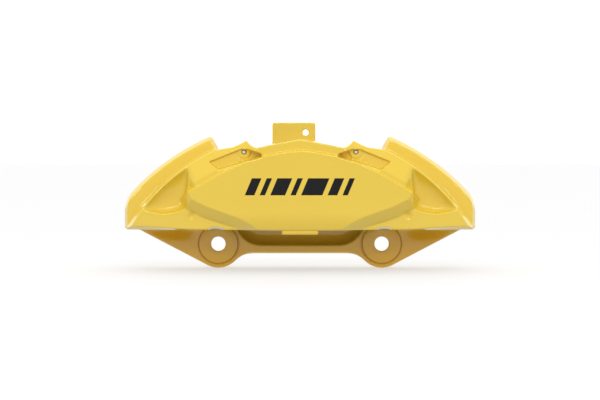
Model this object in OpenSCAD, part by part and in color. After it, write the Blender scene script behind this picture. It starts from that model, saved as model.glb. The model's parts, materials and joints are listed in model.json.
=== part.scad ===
// Fixed six-piston disc brake caliper, in two bolted halves.
// The origin is midway between the two mounting holes, on the ears' mounting face.
// +X runs along the caliper, +Y points inboard along the disc's axis, +Z points away from that axis.

/* [Disc] */
// Diameter of the brake disc
disc_d = 370; // [330:1:440]
// Thickness of the brake disc
disc_t = 34; // [28:0.1:41]
// Room between the disc's rim and the bridge
disc_gap = 3; // [2:0.5:5]
// Height of the disc's rim above the mounting holes
rim_height = 90; // [84:1:96]

/* [Mounting] */
// Distance between the two mounting holes
mount_pitch = 160; // [134:1:192]
// Diameter of the mounting holes
mount_hole_d = 14.2; // [12:0.1:17]
// Thickness of the mounting ears
ear_t = 20; // [16:1:24]
// Wall around the mounting holes
ear_wall = 16.4; // [14:0.1:18]

/* [Housing] */
// Length of the housing
body_l = 336; // [280:1:344]
// Thickness of the bridge over the disc's rim
bridge_t = 29.5; // [26:0.5:34]
// Wall behind each piston bore
back_wall = 8.5; // [7:0.5:12]
// Diameter of the bridge bolts
bridge_bolt_d = 12; // [10:0.5:13]
// Width of the bracket tab on top of the inboard half
tab_w = 42.8; // [36:0.2:50]
// Thickness of the bracket tab
tab_t = 5; // [4:0.5:7]
// Diameter of the hole in the bracket tab
tab_hole_d = 6; // [5:0.5:7]

/* [Pistons] */
// Diameters of the leading, middle and trailing pistons
piston_d = [36, 38, 42];
// Distance between neighbouring piston centres
piston_pitch = 52.4; // [50:0.1:60]
// Length of a piston
piston_l = 29; // [27:0.5:32]
// Radial running clearance of a piston in its bore
piston_fit = 0.05; // [0.02:0.01:0.08]

/* [Pads] */
// Length of the brake pads
pad_l = 152; // [126:0.1:182]
// Radial height of the brake pads
pad_h = 54; // [48:1:58]
// Thickness of the friction material when new
friction_t = 11; // [9:0.5:13]
// Thickness of the pads' steel backing plate
plate_t = 6; // [5:0.5:7]
// Diameter of the pad pins
pin_d = 8; // [7:0.1:9.6]

/* [Hidden] */
$fn = 96;

yellow = [0.91, 0.78, 0.28];
steel = [0.62, 0.63, 0.65];
eps = 0.01;

// Radii about the disc's axis, which lies below the mounting holes.
axis_z = rim_height - disc_d / 2;
slot_r = disc_d / 2 + disc_gap;
out_r = slot_r + bridge_t;
bolt_r = slot_r + bridge_t / 2;
back_r = slot_r + 3;
pad_r = disc_d / 2 - 3;

// Distances from the disc's middle plane, the same in both halves.
slot_y = disc_t / 2 + 1.5;
friction_y = disc_t / 2 + 0.5;
plate_y = friction_y + friction_t;
shim_y = plate_y + plate_t;
shim_t = 0.8;
insert_y = shim_y + shim_t + 0.1;
insert_t = 1;
piston_y = insert_y + insert_t;
mouth_y = insert_y + 2.1;
shoulder_y = mouth_y + 2.5;
bore_end_y = piston_y + piston_l + 2.1;
slab_y = mouth_y + 24.5;
face_y = bore_end_y + back_wall;
ear_y = disc_t / 2 + 8;
disc_mid_y = -(ear_y + ear_t);

// Piston centres, on an arc about the disc's axis.
row_r = disc_d / 2 - 32;
piston_share = min(1, pad_l / (2.9 * piston_pitch));
row_step = 2 * asin(piston_share * piston_pitch / (2 * row_r));
piston_r = piston_share * piston_d / 2;
boot_w = 4.5;
boot_depth = 3.5;
seal_w = 2.55;
seal_at = 6;
seal_l = 3.6;

// Outline heights and lengths.
roof_z = out_r + axis_z - 19.5;
lowest_bore = min([for (i = [0 : 2]) on_arc(row_r, (i - 1) * row_step)[1] - piston_r[i]]) - boot_w;
mid_z = lowest_bore - 7.6;
end_z = mid_z + 1;
nub_w = 34;
nub_h = 3;
panel_w = on_arc(row_r, row_step)[0] + max(piston_r) + 33.4;
ear_r = mount_hole_d / 2 + ear_wall;
bar_z = -8.6;
bar_h = 7.6;
pin_x = 52.9;
pin_z = disc_rim_at(pin_x) + pin_d / 2 + 4.4;
pin_boss_r = pin_d / 2 + 6.5;

// The pad window and what stands at its ends.
abutment_t = 1;
window_w = pad_l + 2 * (abutment_t + 0.6);
inner_bolt = asin((window_w / 2 + 18) / bolt_r);
outer_bolt = asin((body_l / 2 - 16) / bolt_r);
port_angle = (inner_bolt + outer_bolt) / 2;
bolt_head_h = 12;
bolt_seat = 1;
bolt_grip = 32;
port_r = 2.5;
oring_groove = [5, 1.8];
gallery_r = 2;
gallery_port_y = 30;
gallery_bore_y = bore_end_y - 8;
bleed_share = 0.3;
bleed_thread_r = 5;
bleed_face_y = slab_y + 8;
inlet = [40, roof_z - 23];
inlet_r = 5;
inlet_l = 16;
pocket_floor_y = slab_y - 5;

// A point at radius r and angle a from the vertical, as [x, z].
function on_arc(r, a) = [r * sin(a), axis_z + r * cos(a)];

// Height of the disc's rim at x.
function disc_rim_at(x) = axis_z + sqrt(pow(disc_d / 2, 2) - x * x);

// Centre of piston i, as [x, z].
function piston_at(i) = on_arc(row_r, (i - 1) * row_step);

// The point where a line from p touches the circle about c, on the lower side for a point to the right.
function touch(p, c, r) =
    let (v = p - c, d = norm(v), a = atan2(v[1], v[0]) + acos(r / d) * (v[0] > 0 ? -1 : 1))
        c + r * [cos(a), sin(a)];

// Moves from the disc's middle plane to the mounting face.
module at_disc() translate([0, disc_mid_y, 0]) children();

// Mirrors a piece that is drawn on the inboard side, where side is -1 for outboard.
module on_side(side) mirror([0, side < 0 ? 1 : 0, 0]) children();

// Extrudes a 2D outline, drawn in X and Z, between two distances.
module slab(y0, y1) translate([0, y1, 0]) rotate([90, 0, 0]) linear_extrude(height = y1 - y0) children();

// A round bar along Y at p.
module rod(p, r, y0, y1) translate([p[0], y1, p[1]]) rotate([90, 0, 0]) cylinder(r = r, h = y1 - y0);

// A turned piece about Y at p: its profile is drawn as [radius, distance].
module turned(p) translate([p[0], 0, p[1]]) rotate([-90, 0, 0]) rotate_extrude() children();

// A straight drilled hole between two points, run on by more at the first one.
module drill(a, b, r, more = 0) {
    v = b - a;
    start = a - v / norm(v) * more;
    translate(start) rotate([0, acos(v[2] / norm(v)), atan2(v[1], v[0])]) cylinder(r = r, h = norm(v) + more);
}

// ---- Housing outlines, drawn in X and Z ----

// The bottom edge of both halves, closed far above.
module above_bottom() polygon([
    [-body_l / 2, end_z], [-body_l / 4, end_z - 0.1], [-nub_w / 2, mid_z], [nub_w / 2, mid_z],
    [body_l / 4, end_z - 0.1], [body_l / 2, end_z], [body_l / 2, 2 * out_r], [-body_l / 2, 2 * out_r]]);

module arch(r, z = axis_z) intersection() {
    translate([0, z]) circle(r = r);
    above_bottom();
}

// The two end blocks that carry the bridge over the disc.
module bridge_outline() {
    top = [window_w / 2, roof_z - 9.5];
    difference() {
        arch(out_r);
        polygon([[-top[0], mid_z - 20], [top[0], mid_z - 20], top, top + [23.4, 40], [-top[0] - 23.4, top[1] + 40],
                 [-top[0], top[1]]]);
    }
}

// The outboard face's outline: a lower arch, with a shallow roof between the two pin bosses.
module front_outline() {
    boss_top = pin_z + pin_boss_r + 0.5;
    intersection() {
        arch(out_r - 24.5, axis_z + 12.9);
        polygon([
            [0, roof_z], [44, roof_z - 8.6], [47, boss_top - 3.5], [pin_x - 2.2, boss_top], [64, boss_top - 6.2],
            [79, boss_top - 7.6], [81, roof_z + 4], [body_l, roof_z], [body_l, -50],
            [-body_l, -50], [-body_l, roof_z],
            [-81, roof_z + 4], [-79, boss_top - 7.6], [-64, boss_top - 6.2], [2.2 - pin_x, boss_top], [-47, boss_top - 3.5], [-44, roof_z - 8.6]]);
    }
    translate([-nub_w / 2, mid_z - nub_h]) square([nub_w, 2 * nub_h]);
}

// The inboard half's outline behind the shoulder.
module back_outline() {
    intersection() {
        arch(back_r);
        translate([-body_l / 2 + 10, -50]) square([body_l - 20, roof_z - 5 + 50]);
    }
    intersection() {
        translate([-mount_pitch / 2, bar_z]) square([mount_pitch, 60]);
        translate([0, axis_z]) circle(r = back_r);
    }
}

// Ears, the webs that run out to the ends, and the bar that joins the ears.
module ear_outline() {
    fillet_r = 30;
    fillet_x = mount_pitch / 2 - sqrt(pow(ear_r + fillet_r, 2) - pow(fillet_r - bar_z, 2));
    for (s = [-1, 1]) {
        ear = [s * mount_pitch / 2, 0];
        corner = [s * (body_l / 2 - 5), end_z];
        fillet = [s * fillet_x, bar_z - fillet_r];
        meet = ear + (fillet - ear) * ear_r / (ear_r + fillet_r);
        translate(ear) circle(r = ear_r);
        polygon([corner, touch(corner, ear, ear_r - 0.05), ear, [s * body_l / 4, end_z + 12], corner + [0, 12]]);
        difference() {
            polygon([ear, meet, [meet[0], bar_z - 12], [fillet[0], bar_z], [fillet[0], bar_z + bar_h],
                     ear + [0, bar_z + bar_h]]);
            translate(fillet) circle(r = fillet_r);
        }
    }
    translate([-fillet_x, bar_z]) square([2 * fillet_x, bar_h]);
}

// ---- Cuts shared by the two halves, drawn on the inboard side ----

module bore_cuts() for (i = [0 : 2]) {
    p = piston_at(i);
    rod(p, piston_r[i] + piston_fit, mouth_y - 5, bore_end_y);
    rod(p, piston_r[i] + boot_w, mouth_y - 5, mouth_y + boot_depth);
    rod(p, piston_r[i] + seal_w, mouth_y + seal_at, mouth_y + seal_at + seal_l);
}

function port_at(s) = on_arc(bolt_r, s * port_angle);
function gallery_start(s) = let (p = port_at(s)) [p[0], gallery_port_y, p[1]];
function gallery_end(s) = let (p = piston_at(1 + s)) [p[0], gallery_bore_y, p[1]];
function bleed_at(s) = gallery_start(s) + bleed_share * (gallery_end(s) - gallery_start(s));
gallery_run_out = 2;

module gallery_cuts() {
    for (s = [-1, 1]) {
        rod(port_at(s), port_r, -1, gallery_port_y);
        drill(gallery_start(s), gallery_end(s), gallery_r, gallery_run_out);
        outer = piston_at(1 + s);
        middle = piston_at(1);
        drill([outer[0], gallery_bore_y, outer[1]], [middle[0], gallery_bore_y, middle[1]], gallery_r);
    }
}

module disc_slot() rod([0, axis_z], slot_r, -1, slot_y);

module pin_hole(r, y0, y1) for (s = [-1, 1]) rod([s * pin_x, pin_z], r, y0, y1);

module abutment_screw_holes() for (s = [-1, 1])
    translate([s * (window_w / 2 - 1), abutment_screw_y, abutment_screw_z])
        rotate([0, s * 90, 0]) cylinder(r = 1.65, h = 10);
abutment_screw_y = mouth_y - 5.5;
abutment_screw_z = end_z + 16;

// ---- Nodes ----

module outboard_housing() color(yellow) at_disc() on_side(-1) difference() {
    union() {
        difference() {
            union() {
                slab(0, shoulder_y) bridge_outline();
                slab(mouth_y, slab_y) front_outline();
            }
            scoops();
            pin_pockets();
        }
        panel();
    }
    bore_cuts();
    gallery_cuts();
    disc_slot();
    pin_hole(pin_d / 2 + 0.05, mouth_y - 5, face_y);
    pin_hole(pin_d / 2 + 1.55, slab_y - 13, face_y);
    for (s = [-1, 1]) {
        for (a = [inner_bolt, outer_bolt])
            rod(on_arc(bolt_r, s * a), bridge_bolt_d / 2 + 0.02, -1, bolt_grip + 1);
        rod(port_at(s), oring_groove[0], -1, oring_groove[1]);
        rod([s * mount_pitch / 2, 0], end_z + 1.3, 0, face_y);
    }
    abutment_screw_holes();
}

// Hollows between the raised panel and the ends.
module scoops() for (s = [-1, 1])
    translate([s * (panel_w + body_l / 2) / 2 - s * 4, slab_y + 23, end_z + 38]) sphere(r = 32);

// Flat-floored pockets that open the pins' heads to the front.
module pin_pockets() slab(pocket_floor_y, face_y) for (s = [-1, 1])
    polygon([[s * 46, pin_z - 13], [s * 46, pin_z - 1], [s * 55, pin_z + 7], [s * 80, pin_z - 6],
             [s * 80, pin_z - 18], [s * 70, pin_z - 21]]);

// The raised panel on the outboard face, with a bevel along its lower edges.
function panel_top() = [
    [panel_w, roof_z - 49.5], [74.1, roof_z - 31.5], [52.6, roof_z - 21.9], [34.6, roof_z - 15.9],
    [13, roof_z - 11.9], [0, roof_z - 10.8]];
function panel_bottom(bevel) = [
    [panel_w - 2 - 2 * bevel, mid_z + 22 + 6 * bevel], [79 - 20 * bevel, mid_z + 9.9 + 1.2 * bevel],
    [49 - 6 * bevel, mid_z + 1.5 + 1.3 * bevel], [nub_w / 2 + 16, mid_z + 0.4], [nub_w / 2, mid_z], [0, mid_z]];

module panel() {
    n = 10;
    both = function (half) concat(half, [for (i = [4 : -1 : 0]) [-half[i][0], half[i][1]]]);
    rows = [for (layer = [[slab_y - 3, 0], [face_y, 1]]) for (line = [panel_top(), panel_bottom(layer[1])])
        [for (p = both(line)) [p[0], layer[0], p[1]]]];
    id = function (row, i) row * (n + 1) + i;
    quad = function (a, b, i) [[id(b, i), id(b, i + 1), id(a, i + 1)], [id(b, i), id(a, i + 1), id(a, i)]];
    polyhedron(concat(rows[0], rows[1], rows[2], rows[3]), concat(
        [for (i = [0 : n - 1]) for (q = [quad(0, 1, i), quad(1, 3, i), quad(3, 2, i), quad(2, 0, i)]) for (f = q) f],
        [[id(2, 0), id(3, 0), id(1, 0), id(0, 0)], [id(1, n), id(3, n), id(2, n), id(0, n)]]));
}

module inboard_housing() color(yellow) at_disc() difference() {
    union() {
        slab(0, shoulder_y) bridge_outline();
        slab(mouth_y, slab_y) back_outline();
        slab(ear_y, ear_y + ear_t) ear_outline();
        slab(ear_y, slab_y) translate([-mount_pitch / 2 + ear_r, bar_z]) square([mount_pitch - 2 * ear_r, bar_h]);
        for (i = [0 : 2]) rod(piston_at(i), piston_r[i] + 7, mouth_y, face_y);
        for (s = [-1, 1]) {
            rod([bleed_at(s)[0], bleed_at(s)[2]], bleed_thread_r + 3.5, mouth_y, bleed_face_y);
            rod([s * pin_x, pin_z], pin_boss_r, mouth_y, slab_y - 2);
        }
        rod(inlet, inlet_r + 5, mouth_y, bleed_face_y);
        bracket_tab();
    }
    bore_cuts();
    gallery_cuts();
    disc_slot();
    pin_hole(pin_d / 2 + 0.05, mouth_y - 5, mouth_y + 17);
    for (s = [-1, 1]) {
        for (a = [inner_bolt, outer_bolt]) {
            rod(on_arc(bolt_r, s * a), bridge_bolt_d / 2 + 0.3, -1, face_y);
            rod(on_arc(bolt_r, s * a), bridge_bolt_d * 0.75 + 0.8, shoulder_y - bolt_seat, face_y);
        }
        rod([s * mount_pitch / 2, 0], mount_hole_d / 2, ear_y - 1, ear_y + ear_t + 1);
        rod([s * mount_pitch / 2, 0], ear_r - 4.2, ear_y - 10, ear_y + 0.5);
        rod([s * mount_pitch / 2, 0], ear_r + 1, ear_y + ear_t, face_y);
        bleed_seat([bleed_at(s)[0], bleed_at(s)[2]], bleed_at(s)[1]);
    }
    rod(inlet, inlet_r, bleed_face_y - inlet_l, bleed_face_y + 1);
    drill([inlet[0], bleed_face_y - inlet_l + 1, inlet[1]],
          [piston_at(1)[0], gallery_bore_y, piston_at(1)[1]], gallery_r);
    rod([tab_hole_x, tab_hole_z], tab_hole_d / 2, tab_y - 1, tab_y + tab_t + 1);
    abutment_screw_holes();
    slab(slot_y - 0.5, mouth_y) pad_room();
}

// The pads' window, from just under the pads up.
module pad_room() translate([-window_w / 2, end_z + 1.5]) square([window_w, pad_h]);

tab_y = mouth_y + 13;
tab_left = -0.64 * tab_w;
tab_top = roof_z + 16;
tab_hole_x = tab_left + tab_w - 9.8;
tab_hole_z = tab_top - 10;

// The upright tab for the brake hose's bracket, with rounded top corners.
module bracket_tab() {
    corner_r = 2.5;
    slab(tab_y, tab_y + tab_t) {
        translate([tab_left, roof_z - 25]) square([tab_w, tab_top - corner_r - roof_z + 25]);
        translate([tab_left + corner_r, roof_z - 25]) square([tab_w - 2 * corner_r, tab_top - roof_z + 25]);
        for (x = [tab_left + corner_r, tab_left + tab_w - corner_r])
            translate([x, tab_top - corner_r]) circle(r = corner_r);
        difference() {
            translate([tab_left - 9, roof_z - 12]) square([9 + eps, 16]);
            translate([tab_left - 9, roof_z + 4]) circle(r = 9);
        }
    }
}

module bleed_seat(p, y) {
    rod(p, bleed_thread_r, bleed_face_y - 18, bleed_face_y + 1);
    rod(p, 1.6, y, bleed_face_y - 17);
}

module bridge_bolts() color(steel) at_disc() for (s = [-1, 1]) for (a = [inner_bolt, outer_bolt]) {
    p = on_arc(bolt_r, s * a);
    head_y = shoulder_y - bolt_seat;
    difference() {
        union() {
            rod(p, bridge_bolt_d / 2, -bolt_grip, head_y);
            rod(p, bridge_bolt_d * 0.75, head_y, head_y + bolt_head_h);
        }
        translate([p[0], head_y + bolt_head_h + 1, p[1]]) rotate([90, 0, 0])
            cylinder(r = bridge_bolt_d * 0.42 / cos(30), h = bolt_head_h * 0.6 + 1, $fn = 6);
    }
}

module crossover_o_rings() color("black") at_disc() for (s = [-1, 1]) on_side(-1)
    turned(port_at(s)) translate([(port_r + oring_groove[0]) / 2, oring_groove[1] / 2])
        circle(r = oring_groove[1] / 2 - 0.02);

module pad_pins() color(steel) at_disc() for (s = [-1, 1]) {
    rod([s * pin_x, pin_z], pin_d / 2, -slab_y + 3.5, mouth_y + 16);
    rod([s * pin_x, pin_z], pin_d / 2 + 1.45, -slab_y + 2, -slab_y + 5);
}

module pin_collars() color("silver") at_disc() for (s = [-1, 1]) difference() {
    rod([s * pin_x, pin_z], pin_d / 2 + 1.5, -slab_y + 5.1, -slab_y + 12.9);
    rod([s * pin_x, pin_z], pin_d / 2 + 0.01, -slab_y, -slab_y + 14);
    translate([s * pin_x - 0.6, -slab_y, pin_z]) cube([1.2, 20, 20]);
}

// Sheet-metal cross: its arms hook under the pins and its legs bear on the pads.
spring_t = 0.7;
module anti_rattle_spring() color("silver") at_disc() {
    low = pin_z - pin_d / 2 - 0.05 - spring_t;
    high = low + 7;
    leg_z = axis_z + pad_r + 0.35;
    half = [[0, high], [16, high], [32, low + 5], [pin_x - 6, low], [pin_x + 3, low], [pin_x + 9, low + 3]];
    line = concat([for (i = [len(half) - 1 : -1 : 1]) [-half[i][0], half[i][1]]], half);
    lifted = [for (i = [len(line) - 1 : -1 : 0]) line[i] + [0, spring_t]];
    slab(-7, 7) polygon(concat(line, lifted));
    slab(-plate_y - 4, plate_y + 4) translate([-14, high]) square([28, spring_t]);
    for (s = [-1, 1]) translate([-14, s * (plate_y + 4 - spring_t / 2) - spring_t / 2, leg_z])
        cube([28, spring_t, high - leg_z + spring_t]);
}

module abutment_plates() color("silver") at_disc() for (side = [-1, 1]) on_side(side) for (s = [-1, 1])
    difference() {
        x = s * (window_w / 2 - abutment_t / 2);
        top = axis_z + sqrt(pow(pad_r, 2) - pow(pad_l / 2, 2));
        translate([x - abutment_t / 2, slot_y + 1, end_z + 4]) cube([abutment_t, mouth_y - slot_y - 2, top - end_z - 4]);
        translate([x, abutment_screw_y, abutment_screw_z]) rotate([0, 90, 0])
            cylinder(r = 3.05, h = 3, center = true);
    }

module abutment_screws() color(steel) at_disc() for (side = [-1, 1]) on_side(side) for (s = [-1, 1])
    translate([s * (window_w / 2 - abutment_t + 0.1), abutment_screw_y, abutment_screw_z])
        rotate([0, s * 90, 0]) difference() {
            union() {
                cylinder(r = 3, h = abutment_t - 0.1);
                cylinder(r = 1.6, h = abutment_t + 7);
            }
            translate([0, 0, -1]) cylinder(r = 1.3, h = 1.6, $fn = 6);
        }

// Backing plate: an arched sector with a lug for each pin.
module pad_outline(inset) intersection() {
    difference() {
        translate([0, axis_z]) circle(r = pad_r - inset);
        translate([0, axis_z]) circle(r = pad_r - pad_h + inset);
    }
    translate([-pad_l / 2 + inset, end_z + 3 + inset]) square([pad_l - 2 * inset, out_r]);
}

module plate_outline() difference() {
    union() {
        pad_outline(0);
        for (s = [-1, 1]) {
            translate([s * pin_x, pin_z]) circle(r = pin_d / 2 + 4.5);
            translate([s * pin_x - pin_d / 2 - 4.5, pin_z - 25]) square([pin_d + 9, 25]);
        }
    }
    for (s = [-1, 1]) translate([s * pin_x, pin_z]) circle(r = pin_d / 2 + 0.4);
}

module friction(side) color("dimgray") at_disc() on_side(side) difference() {
    slab(friction_y, plate_y) pad_outline(2);
    slab(friction_y - 1, plate_y - 2) translate([-1.5, 0]) square([3, out_r]);
    for (s = [-1, 1]) translate([s * (pad_l / 2 - 2), friction_y - 1, -20])
        rotate([0, 0, 45]) cube([9, 9, 300], center = true);
}

module pad_plate(side) color("black") at_disc() on_side(side) slab(plate_y, shim_y) plate_outline();

module pad_shim(side) color("silver") at_disc() on_side(side) slab(shim_y, shim_y + shim_t) pad_outline(1);

// Cup piston, open towards the pad, with a groove for its dust boot.
module piston(side, i) color("lightgray") at_disc() on_side(side) turned(piston_at(i)) {
    r = piston_r[i];
    groove = [1, 3.4, 1.6];
    polygon([
        [0, piston_y + piston_l - 7], [r - 4.5, piston_y + piston_l - 7], [r - 4.5, piston_y],
        [r - 0.5, piston_y], [r, piston_y + 0.5], [r, piston_y + groove[0]],
        [r - groove[2], piston_y + groove[0]], [r - groove[2], piston_y + groove[1]], [r, piston_y + groove[1]],
        [r, piston_y + piston_l - 1], [r - 1, piston_y + piston_l], [0, piston_y + piston_l]]);
}

// Pressed steel ring in the piston's mouth, which bears on the pad.
module piston_insert(side, i) color("silver") at_disc() on_side(side) turned(piston_at(i)) {
    r = piston_r[i];
    polygon([[r - 8, insert_y], [r - 1.2, insert_y], [r - 1.2, piston_y - eps], [r - 4.52, piston_y - eps],
             [r - 4.52, piston_y + 8], [r - 6, piston_y + 8], [r - 6, piston_y], [r - 8, piston_y]]);
}

module piston_seal(side, i) color("black") at_disc() on_side(side) turned(piston_at(i))
    translate([piston_r[i] + 0.02, mouth_y + seal_at + 0.05]) square([seal_w - 0.04, seal_l - 0.1]);

// Rubber boot: one bead in the housing, one in the piston's groove, and a fold between them.
module dust_boot(side, i) color("black") at_disc() on_side(side) turned(piston_at(i)) {
    r = piston_r[i];
    y = mouth_y;
    polygon([
        [r - 1.55, y], [r - 1.55, y + 2.1], [r + 0.9, y + 2.1], [r + 0.9, y - 0.4], [r + 2.4, y - 0.4],
        [r + 2.4, y + boot_depth - 0.1], [r + boot_w - 0.05, y + boot_depth - 0.1], [r + boot_w - 0.05, y + 1.2],
        [r + 3.2, y + 1.2], [r + 3.2, y - 1.2], [r + 0.1, y - 1.2], [r + 0.1, y]]);
}

// Bleed screw with a conical tip, a hexagon and a hose nipple.
module bleed_screw(s) color(steel) at_disc() {
    p = [bleed_at(s)[0], bleed_at(s)[2]];
    y = bleed_face_y;
    difference() {
        union() {
            turned(p) polygon([
                [0, y - 17.9], [1.9, y - 17.9], [3.5, y - 14], [bleed_thread_r - 0.05, y - 13.5],
                [bleed_thread_r - 0.05, y - 1], [3.6, y], [3.6, y + 12], [3, y + 12.6], [3, y + 14], [4, y + 15],
                [3, y + 18], [2.6, y + 19], [0, y + 19]]);
            translate([p[0], y + 9, p[1]]) rotate([90, 0, 0]) cylinder(r = 5.5 / cos(30), h = 7, $fn = 6);
        }
        rod(p, 1, y - 12, y + 20);
        translate([p[0], y - 12, p[1]]) rotate([0, 90, 0]) cylinder(r = 0.9, h = 12, center = true);
    }
}

module bleed_cap(s) color("black") at_disc() {
    y = bleed_face_y;
    turned([bleed_at(s)[0], bleed_at(s)[2]]) polygon([
        [4.05, y + 10], [5.6, y + 10], [5.6, y + 12], [5.1, y + 13], [5.1, y + 20], [4, y + 21.5], [0, y + 21.5],
        [0, y + 19.3], [4.05, y + 19.3]]);
}

outboard_housing();
inboard_housing();
bridge_bolts();
crossover_o_rings();
pad_pins();
pin_collars();
anti_rattle_spring();
abutment_plates();
abutment_screws();
bleed_screw(-1);  // bleed_screw_left
bleed_screw(1);  // bleed_screw_right
bleed_cap(-1);  // bleed_cap_left
bleed_cap(1);  // bleed_cap_right
for (side = [-1, 1]) {
    name = side < 0 ? "outboard" : "inboard";
    friction(side);
    pad_plate(side);
    pad_shim(side);
    for (i = [0 : 2]) {
        place = ["leading", "middle", "trailing"][i];
        piston(side, i);
        piston_insert(side, i);
        piston_seal(side, i);
        dust_boot(side, i);
    }
}
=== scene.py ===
import json
import math
import bpy
import numpy as np
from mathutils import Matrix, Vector


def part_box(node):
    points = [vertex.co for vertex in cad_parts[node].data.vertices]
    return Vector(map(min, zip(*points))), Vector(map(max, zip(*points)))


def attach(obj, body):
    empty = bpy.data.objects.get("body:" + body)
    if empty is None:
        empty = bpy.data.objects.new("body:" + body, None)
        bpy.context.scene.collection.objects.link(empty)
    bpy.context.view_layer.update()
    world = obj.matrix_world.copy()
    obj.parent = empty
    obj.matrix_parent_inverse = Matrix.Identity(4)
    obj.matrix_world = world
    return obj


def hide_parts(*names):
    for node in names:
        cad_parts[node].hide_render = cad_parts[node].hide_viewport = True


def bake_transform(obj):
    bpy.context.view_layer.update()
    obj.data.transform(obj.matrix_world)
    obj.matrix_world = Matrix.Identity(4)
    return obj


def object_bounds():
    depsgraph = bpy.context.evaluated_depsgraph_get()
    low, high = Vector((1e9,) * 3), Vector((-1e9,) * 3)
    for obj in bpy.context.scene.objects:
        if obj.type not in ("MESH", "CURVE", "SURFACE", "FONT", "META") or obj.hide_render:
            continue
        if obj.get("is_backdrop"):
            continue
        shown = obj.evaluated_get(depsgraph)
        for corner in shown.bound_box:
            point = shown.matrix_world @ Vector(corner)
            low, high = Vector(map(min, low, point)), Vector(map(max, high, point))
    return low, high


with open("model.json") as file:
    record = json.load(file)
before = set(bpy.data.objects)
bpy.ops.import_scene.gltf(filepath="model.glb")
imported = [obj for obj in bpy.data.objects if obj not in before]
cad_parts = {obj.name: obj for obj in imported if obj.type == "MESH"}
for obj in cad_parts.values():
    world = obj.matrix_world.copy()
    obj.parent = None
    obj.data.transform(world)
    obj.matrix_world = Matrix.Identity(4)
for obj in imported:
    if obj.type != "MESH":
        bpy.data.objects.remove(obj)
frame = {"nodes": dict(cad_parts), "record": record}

cadLow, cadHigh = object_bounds()
nodes = frame["nodes"]
mm = 0.001
body = "caliper_body"

# places, all in millimetres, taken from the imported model

pinLow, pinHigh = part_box("pad_pins")
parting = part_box("outboard_housing")[1].y / mm            # y of the disc's middle plane
discAxis = -95.0                                          # height of the disc's axis
sides = {"outboard": -1, "inboard": 1}
places = ("leading", "middle", "trailing")


def centreOf(node):
    low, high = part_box(node)
    return (low + high) / 2


def pistonPlace(side, place):
    low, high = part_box(f"piston_{side}_{place}")
    return (low.x + high.x) / 2 / mm, (low.z + high.z) / 2 / mm, (high.x - low.x) / 2 / mm


pinR = 4.0
pinHead = 5.45
pinX = (pinHigh.x - pinLow.x) / 2 / mm - pinHead
pinZ = (pinHigh.z + pinLow.z) / 2 / mm
bleedX = centreOf("bleed_screw_right").x / mm
bleedZ = centreOf("bleed_screw_right").z / mm
print("stage: frame loaded, parting plane at", round(parting, 2))

# distance functions: each gives how far a point lies outside a shape, in mm, negative inside


# Distance to the centre less the radius.
def circleOf(x, z, cx, cz, r):
    return np.hypot(x - cx, z - cz) - r


# Distance to the line from a to b, positive on its left.
def sideOf(x, z, a, b):
    dx, dz = b[0] - a[0], b[1] - a[1]
    return (dx * (z - a[1]) - dz * (x - a[0])) / math.hypot(dx, dz)


# Nearest distance to the edges, with the sign of the crossing count.
def polygonOf(x, z, points):
    nearest = np.full(np.broadcast(x, z).shape, 1e9)
    outside = np.ones(nearest.shape, bool)
    for a, b in zip(points, points[1:] + points[:1]):
        ex, ez = b[0] - a[0], b[1] - a[1]
        px, pz = x - a[0], z - a[1]
        t = np.clip((px * ex + pz * ez) / (ex * ex + ez * ez), 0, 1)
        nearest = np.minimum(nearest, np.hypot(px - t * ex, pz - t * ez))
        crosses = (a[1] > z) != (b[1] > z)
        with np.errstate(divide="ignore", invalid="ignore"):
            atX = a[0] + (z - a[1]) * ex / ez if ez else np.inf
        outside ^= crosses & (x < atX)
    return np.where(outside, nearest, -nearest)


# Where two shapes meet: the larger distance, with the outer corner rounded to radius r.
def both(a, b, r=0.0):
    if np.all(r == 0):
        return np.maximum(a, b)
    return np.minimum(-r, np.maximum(a, b)) + np.hypot(np.maximum(a + r, 0), np.maximum(b + r, 0))


# Two shapes joined: the smaller distance, with the inner corner filled to radius r.
def either(a, b, r=0.0):
    if np.all(r == 0):
        return np.minimum(a, b)
    return np.maximum(r, np.minimum(a, b)) - np.hypot(np.maximum(r - a, 0), np.maximum(r - b, 0))


# Shape a without shape b, its new edge rounded to radius r.
def less(a, b, r=0.0):
    return both(a, -b, r)


# 0 below 0, 1 above 1, and 3t2 - 2t3 between.
def ease(t):
    t = np.clip(t, 0, 1)
    return t * t * (3 - 2 * t)


# Rises from 0 towards 1 as 1 - exp(-t / width).
def fill(t, width):
    return 1 - np.exp(-np.maximum(t, 0) / width)


# meshing: the surface where a field of distances is zero

meshing = {
    "step": 0.8,      # mm between samples
    "soften": 0.45,                     # radius of the casting's own softness, in steps
    "triangles": 190000,                # most triangles in one casting
    "margin": 3,                        # empty samples round the shape
}


# Each sample becomes the Gaussian mean of its neighbours along the three axes in turn.
def blurred(f, width):
    reach = 2
    weights = np.exp(-0.5 * (np.arange(-reach, reach + 1) / width) ** 2)
    weights = (weights / weights.sum()).astype(np.float32)
    for axis in range(3):
        padded = np.pad(f, [(reach, reach) if a == axis else (0, 0) for a in range(3)], mode="edge")
        n = f.shape[axis]
        f = sum(w * np.take(padded, np.arange(i, i + n), axis) for i, w in enumerate(weights))
    return f


# The field at points p, in steps, as the trilinear mean of the eight samples around each.
def sampled(f, p):
    top = np.array(f.shape) - 2
    i = np.clip(np.floor(p).astype(np.int64), 0, top)
    t = np.clip(p - i, 0, 1)
    flat, (ny, nz) = f.reshape(-1), f.shape[1:]
    base = (i[:, 0] * ny + i[:, 1]) * nz + i[:, 2]
    total = 0
    for dx in (0, 1):
        for dy in (0, 1):
            for dz in (0, 1):
                w = np.abs(1 - dx - t[:, 0]) * np.abs(1 - dy - t[:, 1]) * np.abs(1 - dz - t[:, 2])
                total = total + w * flat[base + (dx * ny + dy) * nz + dz]
    return total


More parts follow.
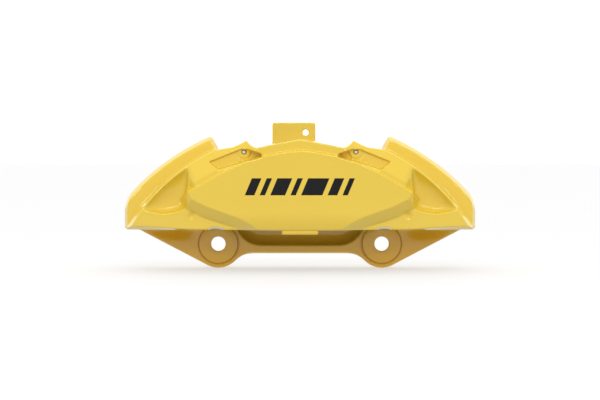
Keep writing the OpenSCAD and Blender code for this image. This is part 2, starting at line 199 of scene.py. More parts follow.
# The field's rate of change at p along each axis, from samples 0.6 of a step either way.
def slopeAt(f, p):
    h = 0.6
    return np.stack([(sampled(f, p + h * e) - sampled(f, p - h * e)) / (2 * h) for e in np.eye(3)], 1)


# Points moved along the slope until the field is zero there.
def settled(f, p, rounds=2):
    for _ in range(rounds):
        g = slopeAt(f, p)
        p = p - np.clip(sampled(f, p) / np.maximum((g * g).sum(1), 1e-6), -1, 1)[:, None] * g
    return p


# One vertex in each cell that the surface crosses, at the mean of its edge crossings, and a quad round each
# crossed edge.
def netOf(f):
    inside = f < 0
    cells = np.array(f.shape) - 1
    size = int(np.prod(cells))
    count = np.zeros(size)
    total = np.zeros((3, size))
    quads = []
    for axis in range(3):
        low = [slice(None)] * 3
        high = [slice(None)] * 3
        low[axis], high[axis] = slice(0, -1), slice(1, None)
        low, high = tuple(low), tuple(high)
        at = np.argwhere(inside[low] != inside[high])
        a, b = f[low][tuple(at.T)], f[high][tuple(at.T)]
        crossing = at.astype(float)
        crossing[:, axis] += a / (a - b)
        u, v = [k for k in range(3) if k != axis]
        around = []
        for du, dv in ((0, 0), (1, 0), (1, 1), (0, 1)):
            c = at.copy()
            c[:, u] -= du
            c[:, v] -= dv
            cell = (c[:, 0] * cells[1] + c[:, 1]) * cells[2] + c[:, 2]
            around.append(cell)
            count += np.bincount(cell, minlength=size)
            for k in range(3):
                total[k] += np.bincount(cell, crossing[:, k], size)
        ring = np.stack(around, 1)
        turn = (a < 0) ^ (axis == 1)
        ring[~turn] = ring[~turn][:, ::-1]
        quads.append(ring)
    used = np.flatnonzero(count)
    index = np.zeros(size, np.int64)
    index[used] = np.arange(len(used))
    points = (total[:, used] / count[used]).T
    return points, index[np.concatenate(quads)]


# A mesh of points in mm and faces of one size.
def meshFrom(name, points, faces):
    mesh = bpy.data.meshes.new(name)
    faces = np.asarray(faces)
    corners = faces.shape[1]
    mesh.vertices.add(len(points))
    mesh.vertices.foreach_set("co", (np.asarray(points, float) * mm).astype(np.float32).ravel())
    mesh.loops.add(faces.size)
    mesh.loops.foreach_set("vertex_index", faces.astype(np.int32).ravel())
    mesh.polygons.add(len(faces))
    mesh.polygons.foreach_set("loop_start", np.arange(0, faces.size, corners, dtype=np.int32))
    mesh.update(calc_edges=True)
    mesh.validate()
    mesh.polygons.foreach_set("use_smooth", np.ones(len(mesh.polygons), bool))
    return mesh


def addPiece(name, mesh, material, on=body, replaced=()):
    piece = bpy.data.objects.new(name, mesh)
    bpy.context.scene.collection.objects.link(piece)
    mesh.materials.clear()
    mesh.materials.append(material)
    if on:
        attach(piece, on)
    if replaced:
        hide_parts(*replaced)
    return piece


# Samples shape(x, e, z) over a box, finds its surface, thins it and lays its points and normals on the
# surface again. e is the distance from the parting plane; the side is the sign it has along Y.
def casting(name, shape, low, high, material, replaced):
    step = meshing["step"]
    side = sides[name.split("_")[0]]
    counts = [int(math.ceil((b - a) / step)) + 2 * meshing["margin"] for a, b in zip(low, high)]
    x, e, z = [(a + step * (np.arange(n) - meshing["margin"])) for a, n in zip(low, counts)]
    x, e, z = x[:, None, None], e[None, :, None], z[None, None, :]
    field = np.broadcast_to(shape(x, e, z), counts).astype(np.float32)
    field = blurred(np.clip(field / step, -4, 4), meshing["soften"])
    points, quads = netOf(field)
    points = settled(field, points, 1)
    start = np.array([x.flat[0], e.flat[0], z.flat[0]])

    def toWorld(p):
        q = start + p * step
        return np.stack([q[:, 0], parting + side * q[:, 1], q[:, 2]], 1)

    if side < 0:
        quads = quads[:, ::-1]
    mesh = meshFrom(name, toWorld(points), quads)
    share = meshing["triangles"] / (2 * len(quads))
    if share < 1:
        holder = bpy.data.objects.new(name, mesh)
        bpy.context.scene.collection.objects.link(holder)
        thin = holder.modifiers.new("thin", "DECIMATE")
        thin.ratio = share
        thinned = bpy.data.meshes.new_from_object(holder.evaluated_get(bpy.context.evaluated_depsgraph_get()))
        bpy.data.objects.remove(holder)
        bpy.data.meshes.remove(mesh)
        mesh = thinned
        mesh.name = name
    co = np.empty(3 * len(mesh.vertices), np.float32)
    mesh.vertices.foreach_get("co", co)
    world = co.reshape(-1, 3).astype(float) / mm
    local = (np.stack([world[:, 0], side * (world[:, 1] - parting), world[:, 2]], 1) - start) / step
    local = settled(field, local, 1)
    mesh.vertices.foreach_set("co", (toWorld(local) * mm).astype(np.float32).ravel())
    normals = slopeAt(field, local)
    normals[:, 1] *= side
    normals /= np.maximum(np.linalg.norm(normals, axis=1, keepdims=True), 1e-9)
    mesh.polygons.foreach_set("use_smooth", np.ones(len(mesh.polygons), bool))
    mesh.update()
    mesh.normals_split_custom_set_from_vertices(normals.tolist())
    print("stage:", name, len(quads), "quads, kept", len(mesh.polygons), "faces")
    return addPiece(name, mesh, material, replaced=replaced)


# materials


# A socket that the maths operators can be used on.
class Value:
    def __init__(self, tree, socket):
        self.tree, self.socket = tree, socket

    def node(self, kind, settings=None, **inputs):
        made = self.tree.nodes.new(kind)
        for key, value in (settings or {}).items():
            if key == "stops":
                ramp = made.color_ramp
                while len(ramp.elements) < len(value):
                    ramp.elements.new(0.5)
                for element, (at, colour) in zip(ramp.elements, value):
                    element.position, element.color = at, (*colour, 1)
            else:
                setattr(made, key, value)
        for key, value in inputs.items():
            key = key.replace("_", " ")
            target = made.inputs[int(key[1:])] if key[0] == "i" and key[1:].isdigit() else made.inputs[key]
            if isinstance(value, Value):
                self.tree.links.new(value.socket, target)
            else:
                target.default_value = value
        return made

    def out(self, made, key=0):
        return Value(self.tree, made.outputs[key])

    def maths(self, operation, a, b=0.0):
        return self.out(self.node("ShaderNodeMath", {"operation": operation}, i0=a, i1=b))

    def __add__(self, other): return self.maths("ADD", self, other)
    def __radd__(self, other): return self.maths("ADD", other, self)
    def __sub__(self, other): return self.maths("SUBTRACT", self, other)
    def __rsub__(self, other): return self.maths("SUBTRACT", other, self)
    def __mul__(self, other): return self.maths("MULTIPLY", self, other)
    def __rmul__(self, other): return self.maths("MULTIPLY", other, self)


def mixColours(share, a, b):
    made = share.node("ShaderNodeMix", {"data_type": "RGBA"}, Factor=share)
    for key, value in ((6, a), (7, b)):
        if isinstance(value, Value):
            share.tree.links.new(value.socket, made.inputs[key])
        else:
            made.inputs[key].default_value = (*value, 1)
    return Value(share.tree, made.outputs[2])


# A Principled material with uniform values on its own sockets, and the place of a point on its piece.
def newMaterial(name, **uniform):
    material = bpy.data.materials.new(name)
    material.use_nodes = True
    tree = material.node_tree
    shader = tree.nodes["Principled BSDF"]
    for key, value in uniform.items():
        key = key.replace("_", " ")
        shader.inputs[key].default_value = (*value, 1) if isinstance(value, tuple) else value
    spot = tree.nodes.new("ShaderNodeTexCoord")
    return material, shader, Value(tree, spot.outputs["Object"])


def noiseAt(place, scale, detail=2.0, roughness=0.5):
    made = place.node("ShaderNodeTexNoise", None, Vector=place, Scale=scale, Detail=detail, Roughness=roughness)
    return place.out(made, "Fac")


def bump(place, height, distance, strength=1.0, after=None):
    inputs = {"Height": height, "Distance": distance, "Strength": strength}
    if after is not None:
        inputs["Normal"] = after
    return place.out(place.node("ShaderNodeBump", None, **inputs), "Normal")


def feed(shader, key, value):
    value.tree.links.new(value.socket, shader.inputs[key])


paint = {
    "colour": (0.82, 0.575, 0.042), "deep": (0.79, 0.55, 0.038),   # the two yellows that the cloud mixes
    "paintedShade": (0.77, 0.43, 0.018), "paintedShadeBelow": (0.008, 0.019),       # painted shade: browner low down, where the ears lie in shade under the overhang and take yellow bounce light, fading between these heights in m
    "rough": 0.5, "specular": 0.2, "coat": 1.0, "coatRough": 0.03, "coatIor": 1.5,
    "cloudScale": 18, "peelScale": 260, "peelDepth": 0.00002,
}


def yellowPaint():
    p = paint
    material, shader, place = newMaterial(
        "yellowPaint", Roughness=p["rough"], Coat_Weight=p["coat"], Coat_Roughness=p["coatRough"],
        Coat_IOR=p["coatIor"], Specular_IOR_Level=p["specular"])
    cloud = noiseAt(place, p["cloudScale"], 3)
    split = place.node("ShaderNodeSeparateXYZ", None, Vector=place)
    # painted shade: the yellow turns brown towards the bottom, standing in for the shade and yellow bounce light under
    # the overhang
    low = place.node("ShaderNodeMapRange", {"interpolation_type": "SMOOTHSTEP"}, Value=place.out(split, 2),
                     From_Min=p["paintedShadeBelow"][0], From_Max=p["paintedShadeBelow"][1], To_Min=1.0, To_Max=0.0)
    upper = mixColours(cloud, p["deep"], p["colour"])
    feed(shader, "Base Color", mixColours(place.out(low), upper, p["paintedShade"]))
    feed(shader, "Normal", bump(place, noiseAt(place, p["peelScale"], 1), p["peelDepth"], 0.6))
    return material


def metal(name, colour, rough, scale=900, depth=0.00001):
    material, shader, place = newMaterial(name, Metallic=1.0)
    cloud = noiseAt(place, 60, 4)
    feed(shader, "Base Color", mixColours(cloud, tuple(c * 0.8 for c in colour), colour))
    feed(shader, "Roughness", cloud * 0.18 + (rough - 0.09))
    feed(shader, "Normal", bump(place, noiseAt(place, scale, 2), depth))
    return material


def dull(name, colour, light, rough, scale=1200, depth=0.00004):
    material, shader, place = newMaterial(name, Specular_IOR_Level=0.15)
    speck = noiseAt(place, scale, 3, 0.7)
    feed(shader, "Base Color", mixColours(speck, colour, light))
    feed(shader, "Roughness", speck * 0.2 + (rough - 0.1))
    feed(shader, "Normal", bump(place, speck, depth))
    return material


finish = {
    "paint": yellowPaint(),
    "zinc_steel": metal("zincSteel", (0.55, 0.56, 0.57), 0.34),
    "pin_steel": metal("pinSteel", (0.72, 0.72, 0.72), 0.2),
    "spring_steel": metal("springSteel", (0.62, 0.61, 0.59), 0.28),
    "insert_steel": metal("insertSteel", (0.60, 0.60, 0.61), 0.3),
    "piston_aluminium": metal("pistonAluminium", (0.62, 0.61, 0.58), 0.32),
    "friction": dull("frictionCompound", (0.035, 0.033, 0.031), (0.16, 0.145, 0.13), 0.9, 1800, 0.0001),
    "plate_paint": dull("platePaint", (0.006, 0.006, 0.006), (0.011, 0.011, 0.011), 0.5),
    "shim": metal("shimSteel", (0.22, 0.22, 0.23), 0.45),
    "seal_rubber": dull("sealRubber", (0.015, 0.015, 0.015), (0.03, 0.03, 0.03), 0.7),
    "boot_rubber": dull("bootRubber", (0.018, 0.018, 0.018), (0.04, 0.04, 0.04), 0.65),
}
slotOf = {s["node"]: s["material_slot"] for s in frame["record"]["subparts"]}
for name, node in nodes.items():
    node.data.materials.clear()
    node.data.materials.append(finish[slotOf[name]])
print("stage: materials")

# the two castings

bridge = {
    "outerRadius": 218.2, "halfLength": 168.0, "slotRadius": 188.0, "slotHalf": 18.5, "shoulder": 40.0,
    "windowHalf": 77.6, "flareFrom": (77.6, 93.5), "flareTo": (83.7, 104.0), "rim": 1.6, "draft": 2.9,
    "bottomMiddle": 15.9, "bottomEnd": 16.9,
}


# How far below the bottom edge, which rises a little towards the ends.
def bottomOf(x, z):
    return bridge["bottomMiddle"] + (bridge["bottomEnd"] - bridge["bottomMiddle"]) * np.abs(x) / bridge["halfLength"] - z


def bridgeBlocks(x, e, z):
    b = bridge
    flat = both(circleOf(x, z, 0, discAxis, b["outerRadius"]), x - b["halfLength"], 6.5)
    flat = both(flat, bottomOf(x, z), 2)
    window = both(b["windowHalf"] - x, sideOf(x, z, b["flareFrom"], b["flareTo"]), 2)
    flat = both(flat, window, 3)
    block = both(flat + b["draft"] * np.clip((e - 30) / 8.5, 0, 1), e - b["shoulder"], b["rim"])
    slot = both(circleOf(x, z, 0, discAxis, b["slotRadius"]), e - b["slotHalf"])
    return both(less(block, slot, 1.5), -e, 0.5)


face = {
    "arcCentre": -82.1, "arcRadius": 193.0, "wall": 37.5, "rim": 1.0, "draft": 0.5, "endDraft": 2.4,
    "roof": [(-60, 91.3), (0, 103.2), (13, 100.9), (27.4, 98.1), (41, 95.2), (44, 96.0), (47.4, 98.6), (50.4, 102.0),
             (52.2, 101.4), (57, 98.6), (64, 95.7), (75.3, 94.0), (83, 92.6), (230, 60), (230, -60), (-60, -60)],
    "panelDepth": 75.3, "panelTop": [(0, 92.2), (13, 91.1), (34.6, 87.1), (52.6, 81.1), (74.1, 71.5), (106, 53.5)],
    "panelBottom": [(106, 53.5), (102.2, 46.3), (88, 39.2), (58.9, 28.9), (46, 22.0), (36, 14), (20, 10)],
    "strip": 71.3, "facet": 0.52, "flange": 62.5, "bevelSlope": 0.98,
    "pocket": [(46.5, 84.6), (55.0, 93.4), (85.2, 81.2), (76.8, 74.8)], "pocketDepth": 63.5,
    "wedge": [(50.3, 92.4), (37.6, 87.6), (48.2, 84.4)], "wedgeDepth": 62.0,
    "pinRoom": 2.3, "bossDepth": 64.2, "bossRadius": 5.6, "scoopDepth": 10.0,
    "scoop": [(100, 41.5), (107.4, 37.0), (117.8, 33.4), (129.2, 31.8), (141.5, 34.0), (158, 37.5), (178, 60), (140, 90),
              (100, 90)],
    "crown": 0.00016, "dome": (0, -165, 204), "domeFall": 0.0015, "footTop": 32, "footFall": 0.014,
    "dimple": (102.6, 30.6), "dimpleRadius": 2.6, "dimpleDepth": 2.4,
    "nubHalf": 17.2, "nubMiddle": 14.4, "nubTall": 1.8, "nubDepth": 70.5,
    "socket": (80, 0, 18.2), "socketFrom": 61.0,
}


# How far the outboard face stands from the parting plane, as a height over x and z, for x at or right of the
# middle.
def faceDepth(x, z):
    f = face
    top = polygonOf(x, z, [(-60, 80)] + f["panelTop"] + f["panelBottom"][1:] + [(-60, 10)])
    above = polygonOf(x, z, [(-60, 80)] + f["panelTop"] + [(150, 20), (150, -60), (-60, -60)])
    arc = circleOf(x, z, 0, f["arcCentre"], f["arcRadius"])
    # the shoulder above the panel: a narrow strip, then a facet that leans back to the rim
    lean = ease((x - 38) / 14)
    shoulder = f["strip"] - lean * f["facet"] * np.maximum(above - 4.2, 0)
    # the flange lies below and beside the panel
    beside = ease((x - 93 - 0.25 * (z - 40)) / 9)
    ground = np.where(above > 0, shoulder * (1 - beside) + np.minimum(shoulder, f["flange"]) * beside, f["flange"])
    # the panel, its top edge stepped and its lower edges bevelled
    crown = f["panelDepth"] - f["crown"] * x * x
    crown = crown - f["domeFall"] * np.maximum(-circleOf(x, z, *f["dome"]), 0) ** 2
    crown = crown - f["footFall"] * np.maximum(f["footTop"] - z, 0) ** 2
    plateau = crown - np.where(above > -0.5, 3.4 * np.maximum(top + 0.5, 0), f["bevelSlope"] * np.maximum(top, 0))
    depth = np.maximum(ground, plateau)
    # the scoop: steep at the panel's side, shallow towards the rim, with a ledge under it
    ledge = polygonOf(x, z, f["scoop"])
    wall = x - 107.5 + 0.06 * (z - 38)
    bowl = fill(wall, 1.8) * fill(-(arc + 2.6), 6.5) * fill(-ledge, 2.2)
    depth = depth - f["scoopDepth"] * bowl
    # pockets for the pins
    pocket = polygonOf(x, z, f["pocket"])
    depth = np.minimum(depth, f["pocketDepth"] + 7 * np.maximum(pocket, 0))
    wedge = polygonOf(x, z, f["wedge"])
    depth = np.minimum(depth, f["wedgeDepth"] + 5 * np.maximum(wedge, 0))
    # a small boss round each pin's end
    pin = np.hypot(x - pinX, z - pinZ)
    depth = np.maximum(depth, f["bossDepth"] - 2.4 * np.maximum(pin - f["bossRadius"], 0))
    # the dimple below the scoop
    dimple = np.hypot(x - f["dimple"][0], z - f["dimple"][1])
    return depth - f["dimpleDepth"] * np.exp(-(dimple / f["dimpleRadius"]) ** 2)


def frontSlab(x, e, z):
    f = face
    flat = both(circleOf(x, z, 0, f["arcCentre"], f["arcRadius"]), bottomOf(x, z), 1.0)
    flat = both(flat, polygonOf(x, z, f["roof"]), 0.6)
    nub = both(np.abs(x) - f["nubHalf"], np.abs(z - f["nubMiddle"]) - f["nubTall"], 0.8)
    nub = both(nub, 58 - e, 0.5)
    depth = faceDepth(x, z)
    gx = np.gradient(depth, x.ravel(), axis=0)
    gz = np.gradient(depth, z.ravel(), axis=2)
    front = (e - depth) / np.sqrt(1 + gx * gx + gz * gz)
    draft = f["draft"] + f["endDraft"] * ease((x - 95) / 60) * ease((75 - z) / 50)
    flat = flat + draft * np.clip((e - 51) / 9, 0, 1)
    slab = both(flat, front, f["rim"])
    slab = either(slab, both(nub, e - f["nubDepth"], 0.8), 0.5)
    return both(slab, f["wall"] - e)


def outboardShape(x, e, z):
    x = np.abs(x)
    shape = either(bridgeBlocks(x, e, z), frontSlab(x, e, z), 2.5)
    clearance = circleOf(x, z, *face["socket"])   # for the tool that turns the mounting bolt, chamfered at the front
    return less(shape, np.minimum(clearance, (clearance - np.maximum(e - face["socketFrom"], 0)) * 0.7))


bores = {"clearance": 0.5, "depth": 67.5, "bootRoom": 4.6, "bootDepth": 41.2, "pinClearance": 0.3, "pinHeadRoom": 5.6}


def boresCut(shape, x, e, z, side):
    for place in places:
        px, pz, r = pistonPlace(side, place)
        shape = less(shape, both(circleOf(x, z, px, pz, r + bores["clearance"]), e - bores["depth"]))
        shape = less(shape, both(circleOf(x, z, px, pz, r + bores["bootRoom"]), e - bores["bootDepth"]), 0.5)
    pin = np.hypot(np.abs(x) - pinX, z - pinZ)
    return less(shape, both(pin - pinR - bores["pinClearance"], np.abs(e - 43) - 13))


def outboardWhole(x, e, z):
    shape = boresCut(outboardShape(x, e, z), x, e, z, "outboard")
    pin = np.hypot(np.abs(x) - pinX, z - pinZ)
    shape = less(shape, both(pin - bores["pinHeadRoom"], np.abs(e - 55.0) - 5.4))
    return less(shape, both(pin - face["pinRoom"], 50 - e), 0.4)


back = {
    "arcRadius": 191.0, "halfLength": 158.0, "roof": 98.0, "wall": 37.5, "depth": 62.0, "rim": 4.0,
    "bossDepth": 76.0, "bossWall": 7.0, "earNear": 25.0, "earFar": 45.0, "padHalf": 77.6, "padFloor": 18.4,
    "webHollow": 3.5, "barSet": 2.0, "pinBoss": 8.8, "pinBossDepth": 60.0, "bleedBoss": 8.5, "bleedHole": 5.1,
    "fittingDepth": 70.0, "inlet": (40, 80), "inletBoss": 10, "inletHole": 5, "boltSeat": 9.9,
}
ears = {
    "x": 80.0, "radius": 23.5, "hole": 7.1, "spot": 19.9, "spotDepth": 2.6, "corner": (162.5, 16.6), "edge": 1.6,
    "barBottom": -8.6, "barTop": -1.0, "fillet": 28.0, "upperFillet": 26.0,
}
tab = {"left": -27.4, "right": 15.4, "top": 118.9, "near": 50.5, "far": 55.5, "hole": (5.6, 109.0, 3.0), "corner": 2.5,
       "footOut": 8.0, "footTop": 95.4}


# The outline of an ear, its web and the bar, with a round fillet under the bar and one over it.
def earPlate(x, z):
    k = ears
    r, cx, cz = k["radius"], *k["corner"]
    a = math.atan2(cz, cx - k["x"]) - math.acos(r / math.hypot(cx - k["x"], cz))
    touch = (k["x"] + r * math.cos(a), r * math.sin(a))
    plate = either(circleOf(x, z, k["x"], 0, r), polygonOf(x, z, [k["corner"], touch, (k["x"], 0), (84, 28), (162, 28)]))
    middle = (k["barTop"] + k["barBottom"]) / 2
    plate = either(plate, both(x - k["x"], np.abs(z - middle) - (k["barTop"] - k["barBottom"]) / 2))
    for fillet, level, way in ((k["fillet"], k["barBottom"], -1), (k["upperFillet"], k["barTop"], 1)):
        cz = level + way * fillet
        cx = k["x"] - math.sqrt((r + fillet) ** 2 - cz * cz)
        share = r / (r + fillet)
        meet = (k["x"] + (cx - k["x"]) * share, cz * share)
        corner = polygonOf(x, z, [(cx, level), (cx, middle), (k["x"], middle), (k["x"], 0), meet])
        plate = either(plate, less(corner, circleOf(x, z, cx, cz, fillet)))
    return plate


def inboardShape(x, e, z):
    b, k = back, ears
    ax = np.abs(x)
    shape = bridgeBlocks(ax, e, z)
    # the slab that carries the bores
    flat = both(circleOf(ax, z, 0, discAxis, b["arcRadius"]), ax - b["halfLength"], 6)
    flat = both(flat, z - b["roof"], 3)
    lower = either(bottomOf(ax, z), both(ax - 74, k["barBottom"] - z, 8), 10)
    flat = both(flat, lower, 3)
    slab = both(both(flat, e - b["depth"], b["rim"]), b["wall"] - e)
    shape = either(shape, slab, 3)
    # round backs of the bores
    for place in places:
        px, pz, r = pistonPlace("inboard", place)
        boss = both(both(circleOf(x, z, px, pz, r + b["bossWall"]), e - b["bossDepth"], 6), b["wall"] + 8 - e)
        shape = either(shape, boss, 5)
    # ears with their webs and the bar
    plate = earPlate(ax, z)
    hollow = ease((z - 1) / 17) * ease((ax - 99) / 20) * (1 - 0.8 * ease((ax - 114) / 40))
    nearFace = b["earNear"] + b["webHollow"] * hollow + b["barSet"] * ease((72 - ax) / 18)
    plate = both(plate, np.maximum(nearFace - e, e - b["earFar"]), k["edge"])
    padRoom = both(both(ax - b["padHalf"], b["padFloor"] - z), e - b["wall"])
    plate = less(plate, padRoom)
    shape = either(shape, plate, 4 + 6 * ease((70 - ax) / 14) * ease((z + 6) / 5))
    rest = both(circleOf(ax, z, k["x"], 0, k["radius"] + 1), b["earFar"] - e)
    shape = less(shape, rest, 1)
    # pin bosses, bleed bosses, inlet boss
    pinBoss = both(both(circleOf(ax, z, pinX, pinZ, b["pinBoss"]), e - b["pinBossDepth"], 3), b["wall"] - e)
    shape = either(shape, pinBoss, 3)
    inletX, inletZ = b["inlet"]
    for outline in (circleOf(ax, z, bleedX, bleedZ, b["bleedBoss"]), circleOf(x, z, inletX, inletZ, b["inletBoss"])):
        boss = both(both(outline, e - b["fittingDepth"], 1.5), b["wall"] + 4 - e)
        shape = either(shape, boss, 4)
    # bracket tab
    t = tab
    beside = np.abs(x - (t["left"] + t["right"]) / 2) - (t["right"] - t["left"]) / 2
    flatTab = both(beside, np.maximum(z - t["top"], 70 - z), t["corner"])
    foot = both(beside - t["footOut"], np.maximum(z - t["footTop"], 80 - z))
    flatTab = either(flatTab, foot, 5)
    bracket = both(flatTab, np.abs(e - (t["near"] + t["far"]) / 2) - (t["far"] - t["near"]) / 2, 0.8)
    shape = either(shape, bracket, 3)
    shape = less(shape, circleOf(x, z, *t["hole"]), 0.3)
    # openings
    shape = less(shape, both(circleOf(ax, z, k["x"], 0, k["spot"]), e - b["earNear"] - k["spotDepth"]), 0.2)
    shape = less(shape, both(circleOf(ax, z, k["x"], 0, k["hole"] + 0.6), np.abs(e - 35) - 15))
    shape = less(shape, both(circleOf(ax, z, bleedX, bleedZ, b["bleedHole"]), 55 - e), 0.4)
    shape = less(shape, both(circleOf(x, z, inletX, inletZ, b["inletHole"]), 54 - e), 0.6)
    for bx, bz in boltPlaces:
        shape = less(shape, both(circleOf(x, z, bx, bz, b["boltSeat"]), 39 - e), 0.5)
    return boresCut(shape, x, e, z, "inboard")


boltRadius = 202.75   # of the bolts' circle about the disc's axis
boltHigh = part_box("bridge_bolts")[1]
boltPlaces = []
for reach in (boltHigh.x / mm - 9.0, None):
    angle = math.asin(reach / boltRadius) if reach else math.asin((bridge["windowHalf"] + 18) / boltRadius)
    for s in (-1, 1):
        boltPlaces.append((s * boltRadius * math.sin(angle), discAxis + boltRadius * math.cos(angle)))

castingLow, castingHigh = (-168.5, -0.5, -24.5), (168.5, 77, 123)
casting("outboard_casting", outboardWhole, (-168.5, -0.5, 11.5), castingHigh, finish["paint"], ["outboard_housing"])
casting("inboard_casting", inboardShape, castingLow, castingHigh, finish["paint"], ["inboard_housing"])

# small turned and bent pieces


# A profile of radii and depths (r, e) swept round an axis along Y: each point at angle a lies at centre + r
# (cos a, sin a).
def latheMesh(name, centre, profile, side, turns=160, sharp=30):
    profile = np.array(profile, float)
    n = len(profile)
    a = np.linspace(0, 2 * np.pi, turns, endpoint=False)
    r, e = profile[:, 0][None, :], profile[:, 1][None, :]
    x = centre[0] + r * np.cos(a)[:, None]
    z = centre[1] + r * np.sin(a)[:, None]
    y = np.broadcast_to(parting + side * e, x.shape)
    points = np.stack([x, y, z], -1).reshape(-1, 3)
    i, j = np.meshgrid(np.arange(turns), np.arange(n - 1), indexing="ij")
    i2 = (i + 1) % turns
    quads = np.stack([i * n + j, i * n + j + 1, i2 * n + j + 1, i2 * n + j], -1).reshape(-1, 4)
    if side < 0:
        quads = quads[:, ::-1]
    mesh = meshFrom(name, points, quads)
    mesh.set_sharp_from_angle(angle=math.radians(sharp))
    return mesh


# A profile with each inner corner replaced by a short arc-like curve: the quadratic through points r before
# and after it.
def rounded(profile, r, steps=4):
    points = [profile[0]]
    for before, at, after in zip(profile, profile[1:], profile[2:]):
        p, c, q = (np.array(v, float) for v in (before, at, after))
        reach = min(r, np.linalg.norm(p - c) * 0.45, np.linalg.norm(q - c) * 0.45)
        start, end = c + (p - c) / np.linalg.norm(p - c) * reach, c + (q - c) / np.linalg.norm(q - c) * reach
        for t in np.linspace(0, 1, steps + 1):
            points.append(tuple((1 - t) ** 2 * start + 2 * t * (1 - t) * c + t * t * end))
    return points + [profile[-1]]


spotFace = {"groove": 19.2, "grooveWidth": 1.0, "grooveDepth": 2.2, "outer": 20.2}
for s, name in ((-1, "ear_face_left"), (1, "ear_face_right")):
    g, half, front, hole = spotFace["groove"], spotFace["grooveWidth"] / 2, back["earNear"], ears["hole"]
    bed = front + spotFace["grooveDepth"]
    profile = [(hole, 44.6), (hole, front + 0.7), (hole + 0.7, front), (g - half, front), (g - half + 0.15, bed),
               (g + half - 0.15, bed), (g + half, front + 0.05), (spotFace["outer"], front + 0.05),
               (spotFace["outer"], front + 3.0)]
    mesh = latheMesh(name, (s * ears["x"], 0), rounded(profile, 0.15, 2), 1)
    addPiece(name, mesh, finish["paint"], replaced=["inboard_housing"])

pins = {"radius": pinR, "head": pinHead, "headLength": 3.0, "tip": 2.0, "tipDepth": 64.6}
for s, name in ((-1, "pin_left"), (1, "pin_right")):
    headDepth = parting - pinLow.y / mm
    neckDepth = headDepth - pins["headLength"]
    farDepth = -(pinHigh.y / mm - parting)
    profile = [(0.0, pins["tipDepth"]), (pins["tip"] * 0.6, pins["tipDepth"] - 0.15), (pins["tip"], pins["tipDepth"] - 0.9),
               (pins["tip"], headDepth), (pins["head"] - 0.4, headDepth), (pins["head"], headDepth - 0.4),
               (pins["head"], neckDepth), (pins["radius"], neckDepth), (pins["radius"], farDepth + 0.5),
               (pins["radius"] - 0.5, farDepth), (0.0, farDepth)]
    mesh = latheMesh(name, (s * pinX, pinZ), rounded(profile[::-1], 0.2, 3), -1)
    addPiece(name, mesh, finish["pin_steel"], replaced=["pad_pins"])
print("stage: ear faces and pins")

# dust boots: each a folded sleeve that stretches from the bore's mouth to its piston

boots = {"outer": 4.3, "inner": 0.35, "waves": 1.5, "thick": 0.7}
for side, way in sides.items():
    for place in places:
        px, pz, r = pistonPlace(side, place)
        low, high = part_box(f"dust_boot_{side}_{place}")
        far = max(way * (low.y / mm - parting), way * (high.y / mm - parting))
        near = min(way * (low.y / mm - parting), way * (high.y / mm - parting))
        t = np.linspace(0, 1, 29)
        reach = boots["outer"] + (boots["inner"] - boots["outer"]) * t
        sag = near + 0.4 + (far - near - 2.3) * (0.5 + 0.5 * np.cos(t * boots["waves"] * 2 * np.pi + 0.6)) * (1 - 0.3 * t)
        upper = np.stack([r + reach, sag], 1)
        lower = upper[::-1] + [0, boots["thick"]]
        profile = np.concatenate([[[r + 4.4, far]], [[r + 4.4, sag[0]]], upper, lower, [[r + 3.4, far]], [[r + 4.4, far]]])
        name = f"boot_fold_{side}_{place}"
        mesh = latheMesh(name, (px, pz), profile, way, 96, 50)
        piece = addPiece(name, mesh, finish["boot_rubber"], on=None, replaced=[f"dust_boot_{side}_{place}"])
        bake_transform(piece)
print("stage: dust boots")

# the printed mark: slanted bars laid on the panel

mark = {
    "low": 50.0, "high": 66.0, "lean": 0.42, "lift": 0.06,
    "bars": [(-52, 9), (-38, 5), (-28, 14), (-9, 5), (1, 20), (26, 9), (40, 5)],   # left end and width
}


# The outboard face's depth at single points, from the same height over x and z, taken along the diagonal of a
# grid.
def frontAt(x, z):
    out = np.empty(len(x))
    for start in range(0, len(x), 64):
        part = slice(start, start + 64)
        grid = faceDepth(np.abs(x[part])[:, None, None], z[part][None, None, :])
        out[part] = np.einsum("iji->i", grid)
    return out


points, faces = [], []
for left, width in mark["bars"]:
    u, v = np.meshgrid(np.linspace(0, 1, 13), np.linspace(0, 1, 9), indexing="ij")
    z = mark["low"] + v * (mark["high"] - mark["low"])
    x = left + u * width + (z - mark["low"]) * mark["lean"]
    base = sum(len(p) for p in points)
    depth = frontAt(x.ravel(), z.ravel()) + mark["lift"]
    points.append(np.stack([x.ravel(), parting - depth, z.ravel()], 1))
    i, j = np.meshgrid(np.arange(12), np.arange(8), indexing="ij")
    faces.append((base + np.stack([i * 9 + j, (i + 1) * 9 + j, (i + 1) * 9 + j + 1, i * 9 + j + 1], -1)).reshape(-1, 4))
mesh = meshFrom("panel_mark", np.concatenate(points), np.concatenate(faces))
addPiece("panel_mark", mesh, finish["plate_paint"])

# bare machined edge of each socket clearance

socket = {"radius": face["socket"][2], "from": 60.5, "half": 21}   # half is in degrees
for s, name in ((-1, "socket_edge_left"), (1, "socket_edge_right")):
    a, t = np.meshgrid(np.radians(90 + np.linspace(-socket["half"], socket["half"], 41)), np.linspace(0, 1, 5), indexing="ij")
    r = socket["radius"] - 0.06 + t * 1.5
    e = socket["from"] + 0.5 + t * 1.5
    points = np.stack([s * ears["x"] + r * np.cos(a), parting - e, r * np.sin(a)], -1).reshape(-1, 3)
    i, j = np.meshgrid(np.arange(40), np.arange(4), indexing="ij")
    faces = np.stack([i * 5 + j, i * 5 + j + 1, (i + 1) * 5 + j + 1, (i + 1) * 5 + j], -1).reshape(-1, 4)
    addPiece(name, meshFrom(name, points, faces), finish["pin_steel"])
print("stage: printed mark and socket edges")

# camera, floor and light

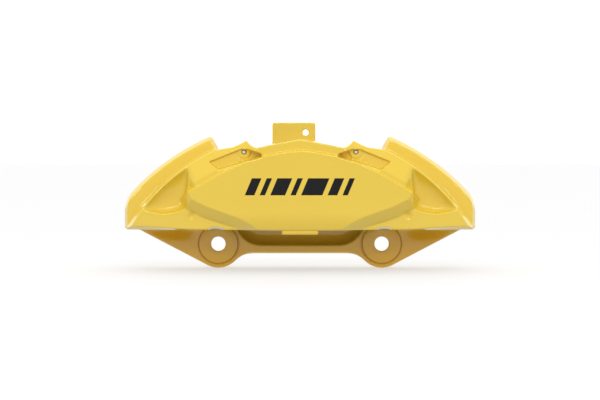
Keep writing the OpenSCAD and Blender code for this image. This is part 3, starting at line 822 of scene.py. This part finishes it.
shot = {"distance": 2.6, "elevation": 1.5, "targetZ": 0.0436, "lens": 160.9}
target = Vector((0.0, parting * mm, shot["targetZ"]))
tilt = math.radians(shot["elevation"])
camera = bpy.data.objects.new("camera", bpy.data.cameras.new("camera"))
bpy.context.scene.collection.objects.link(camera)
camera.location = target + Vector((0, -shot["distance"] * math.cos(tilt), shot["distance"] * math.sin(tilt)))
camera.rotation_euler = (math.radians(90 - shot["elevation"]), 0, 0)
camera.data.lens = shot["lens"]
camera.data.sensor_width = 36
camera.data.clip_end = 30
bpy.context.scene.camera = camera

floorZ = cadLow.z
floorMesh = bpy.data.meshes.new("floor")
floorMesh.from_pydata([(-8, -8, floorZ), (8, -8, floorZ), (8, 8, floorZ), (-8, 8, floorZ)], [], [(0, 1, 2, 3)])
floor = bpy.data.objects.new("floor", floorMesh)
bpy.context.scene.collection.objects.link(floor)
floorMesh.materials.append(newMaterial("floorPaint", Base_Color=(0.28, 0.28, 0.28), Roughness=0.8,
                                       Emission_Color=(1.0, 1.0, 1.0), Emission_Strength=0.58)[0])
floor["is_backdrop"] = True
floor.visible_diffuse = False  # the sweep is lit apart from the object, so it throws little light up

studio = {
    "front": 0.86, "behind": 1.25, "top": 0.45, "below": 0.64,         # strength of the white room, by direction
    "softBox": 20.0, "softSize": (2.0, 0.3), "softPlace": (0, -2.2, 1.7),
    "strip": 1.6, "stripSize": (0.2, 0.12), "stripPlace": (0.9, -1.9, 0.55), "stripAim": (0.12, 0, 0.05),
}
world = bpy.data.worlds.new("studio")
bpy.context.scene.world = world
world.use_nodes = True
tree = world.node_tree
ray = tree.nodes.new("ShaderNodeTexCoord")
split = tree.nodes.new("ShaderNodeSeparateXYZ")
tree.links.new(ray.outputs["Generated"], split.inputs[0])
forward, upward = Value(tree, split.outputs[1]), Value(tree, split.outputs[2])
spread = forward.node("ShaderNodeMapRange", {"interpolation_type": "SMOOTHSTEP"}, Value=forward, From_Min=-0.35, From_Max=0.1,
                      To_Min=studio["front"], To_Max=studio["behind"])
glow = Value(tree, spread.outputs[0]).maths("MAXIMUM", Value(tree, spread.outputs[0]), upward * studio["top"])
sink = upward.node("ShaderNodeMapRange", None, Value=upward, From_Min=-0.25, From_Max=-0.01,
                   To_Min=studio["below"], To_Max=1.0)
glow = glow * Value(tree, sink.outputs[0])
tree.nodes["Background"].inputs["Color"].default_value = (1, 1, 1, 1)
tree.links.new(glow.socket, tree.nodes["Background"].inputs["Strength"])


# A rectangular area light at place, turned towards at.
def softBox(name, place, at, size, power):
    lamp = bpy.data.lights.new(name, "AREA")
    lamp.shape, lamp.size, lamp.size_y, lamp.energy = "RECTANGLE", size[0], size[1], power
    holder = bpy.data.objects.new(name, lamp)
    holder.location = place
    holder.rotation_euler = (Vector(at) - Vector(place)).to_track_quat("-Z", "Y").to_euler()
    bpy.context.scene.collection.objects.link(holder)


stripX, stripY, stripZ = studio["stripPlace"]
aimX, aimY, aimZ = studio["stripAim"]
for s, name in ((-1, "leftStrip"), (1, "rightStrip")):
    softBox(name, (s * stripX, stripY, stripZ), (s * aimX, aimY, aimZ), studio["stripSize"], studio["strip"])
softBox("topLight", studio["softPlace"], (0, 0, 0), studio["softSize"], studio["softBox"])
bpy.context.scene.view_settings.view_transform = "Standard"
print("stage: camera, floor and light")

low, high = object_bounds()
